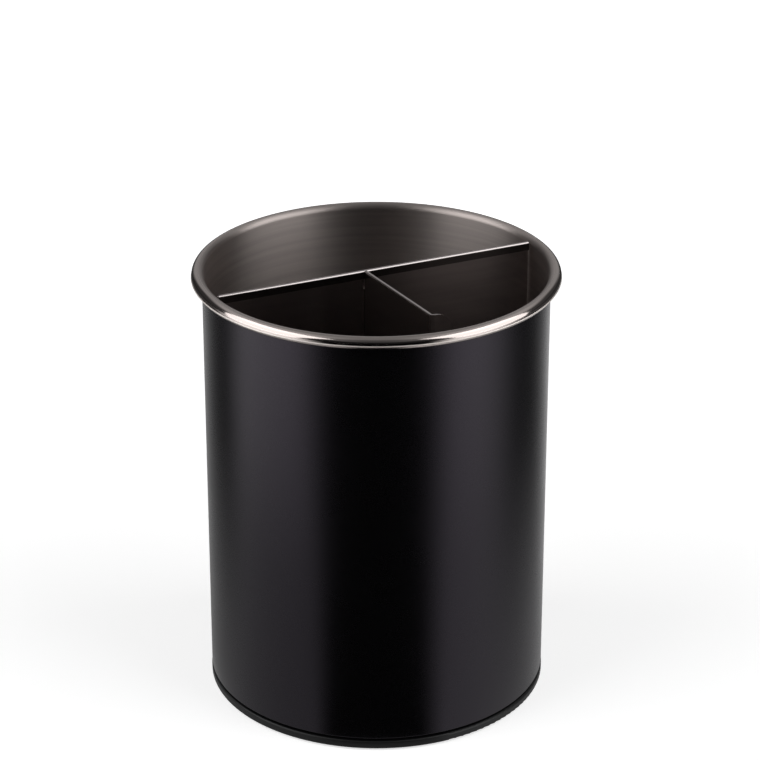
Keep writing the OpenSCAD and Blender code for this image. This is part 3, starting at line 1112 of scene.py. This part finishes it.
def dark_card_material():
    """Black felt in front and behind that thins out to both sides, so that it is soft in the paint."""
    made, nodes, felt = new_material("Black felt", FELT_COLOUR)
    matt(nodes, felt, 1.0)
    right, backward, _ = nodes.parts(nodes.place())
    across = nodes.math("ABSOLUTE", right)
    forward = nodes.product(backward, -1.0)
    turn = nodes.math("ARCTAN2", across, forward)
    away = nodes.length(across, nodes.math("ADD", forward, CARD_APEX))

    def by_side(on_left, on_right):
        return nodes.mapped(right, CARD_SEAM, on_left, on_right)

    sides = nodes.mapped(away, SIDE_BAND, by_side(*SIDE_NEAR), 1.0)
    rear = nodes.mapped(away, REAR_BAND, by_side(*REAR_NEAR), REAR_FAR)
    behind = nodes.mapped(away, BEHIND_BAND, by_side(*BEHIND_NEAR), BEHIND_FAR)
    rear = nodes.mapped(turn, FELT_BEHIND, rear, behind)
    rear_turn = [by_side(*ends) for ends in zip(FELT_LEFT, FELT_RIGHT)]
    front = nodes.mapped(turn, FELT_FRONT, 0.0, 1.0)
    thin = nodes.math("MINIMUM", front, nodes.mapped(turn, rear_turn, sides, rear))
    thin = nodes.math("MAXIMUM", thin, nodes.mapped(away, FOOT_BAND, FOOT_NEAR, 0.0))
    pale = nodes.add("ShaderNodeBsdfDiffuse")
    nodes.put(pale, Color=(*colours().floor, 1.0))
    mix = nodes.add("ShaderNodeMixShader")
    for socket, source in zip(mix.inputs, (thin, felt.outputs[0], glowing(nodes, pale, away))):
        nodes.link(source, socket)
    show(made, nodes, mix.outputs[0])
    return made


def add_dark_card():
    """Lays black felt over the floor, which only the paint and the metal mirror."""
    bpy.ops.mesh.primitive_plane_add(
        size=CARD_SIZE, rotation=(0, 0, -PHOTO_TURN), location=on_camera_side(CARD_APEX, CARD_UP))
    card = bpy.context.object
    card.name = "dark_card"
    for ray in ("camera", "diffuse", "shadow"):
        setattr(card, "visible_" + ray, False)
    dress(card, dark_card_material())


def set_world():
    """A studio that is white to the camera, and dim as a lamp.

    Mirrors see grey walls behind, dark corners and a dark front, and a ceiling lighter at both sides.
    """
    world = bpy.data.worlds.new("Studio")
    world.use_nodes = True
    bpy.context.scene.world = world
    nodes = Nodes(world.node_tree)
    x, y, up = nodes.parts(nodes.add("ShaderNodeTexCoord").outputs["Generated"])
    sine = math.sin(PHOTO_TURN)
    cosine = math.cos(PHOTO_TURN)
    forward = nodes.scaled(x, -sine, nodes.product(y, -cosine))
    right = nodes.scaled(x, cosine, nodes.product(y, -sine))
    aside = nodes.math("ABSOLUTE", right)
    off_back = nodes.math("ARCTAN2", aside, nodes.product(forward, -1.0))
    corner = nodes.product(
        nodes.mapped(off_back, CORNER_TURN, 0.0, 1.0),
        nodes.mapped(up, CORNER_RISE, 1.0, 0.0),
        nodes.mapped(right, CORNER_SIDES, 1.0, CORNER_RIGHT))
    walls = nodes.product(
        nodes.mapped(forward, WALL_DEPTH, BACK_LEVEL, FRONT_LEVEL),
        nodes.mapped(up, HORIZON_RISE, HORIZON_LEVEL, 1.0),
        nodes.mapped(corner, WHOLE, 1.0, CORNER_LEVEL))
    ceiling = nodes.product(
        nodes.mapped(aside, SHOULDER_SIDES, CEILING_LEVEL, SHOULDER_LEVEL),
        nodes.mapped(forward, CEILING_DEPTH, 1.0, CEILING_FRONT))
    mirrored = nodes.product(
        nodes.mapped(up, CEILING_RISE, walls, ceiling),
        nodes.mapped(nodes.rays("Is Glossy Ray"), WHOLE, WORLD_FILL, 1.0))
    direct = nodes.rays("Is Camera Ray", "Is Transmission Ray")
    background = world.node_tree.nodes["Background"]
    nodes.put(background, Color=WHITE, Strength=nodes.math("MAXIMUM", direct, mirrored))


class HOLDER_OT_stage(bpy.types.Operator):
    """Sets the floor, the soft lamps, the surroundings and the camera"""

    bl_idname = "holder.stage"
    bl_label = "Stage"

    def execute(self, context):
        clear_selection()
        bpy.ops.mesh.primitive_plane_add(size=FLOOR_SIZE, location=(0, 0, -FLOOR_DOWN))
        floor = bpy.context.object
        floor.name = "pale_floor"
        dress(floor, floor_material())
        add_dark_card()
        add_softbox("left_softbox", -SOFTBOX_ASIDE)
        add_softbox("right_softbox", SOFTBOX_ASIDE)
        set_world()
        add_camera()
        context.scene.view_settings.view_transform = "Standard"
        return {"FINISHED"}


class HOLDER_PT_panel(bpy.types.Panel):
    """Lists the pieces of the holder"""

    bl_idname = "HOLDER_PT_panel"
    bl_label = "Cutlery holder"
    bl_space_type = "VIEW_3D"
    bl_region_type = "UI"
    bl_category = "Holder"

    def draw(self, context):
        layout = self.layout
        for group in (context.scene.holder_sizes, context.scene.holder_colours):
            for key in group.__annotations__:
                layout.prop(group, key)
        for operator in OPERATORS:
            layout.operator(operator.bl_idname)


OPERATORS = (
    HOLDER_OT_pot,
    HOLDER_OT_jacket,
    HOLDER_OT_divider,
    HOLDER_OT_floor,
    HOLDER_OT_turntable,
    HOLDER_OT_stage,
)
CLASSES = (HolderSizes, HolderColours, *OPERATORS, HOLDER_PT_panel)


def register():
    for cls in CLASSES:
        bpy.utils.register_class(cls)
    bpy.types.Scene.holder_sizes = bpy.props.PointerProperty(type=HolderSizes)
    bpy.types.Scene.holder_colours = bpy.props.PointerProperty(type=HolderColours)


def unregister():
    del bpy.types.Scene.holder_colours
    del bpy.types.Scene.holder_sizes
    for cls in reversed(CLASSES):
        bpy.utils.unregister_class(cls)


def main():
    register()
    bpy.ops.holder.pot()
    bpy.ops.holder.jacket()
    bpy.ops.holder.divider()
    bpy.ops.holder.pot_floor()
    bpy.ops.holder.turntable()
    bpy.ops.holder.stage()


if __name__ == "__main__":
    main()
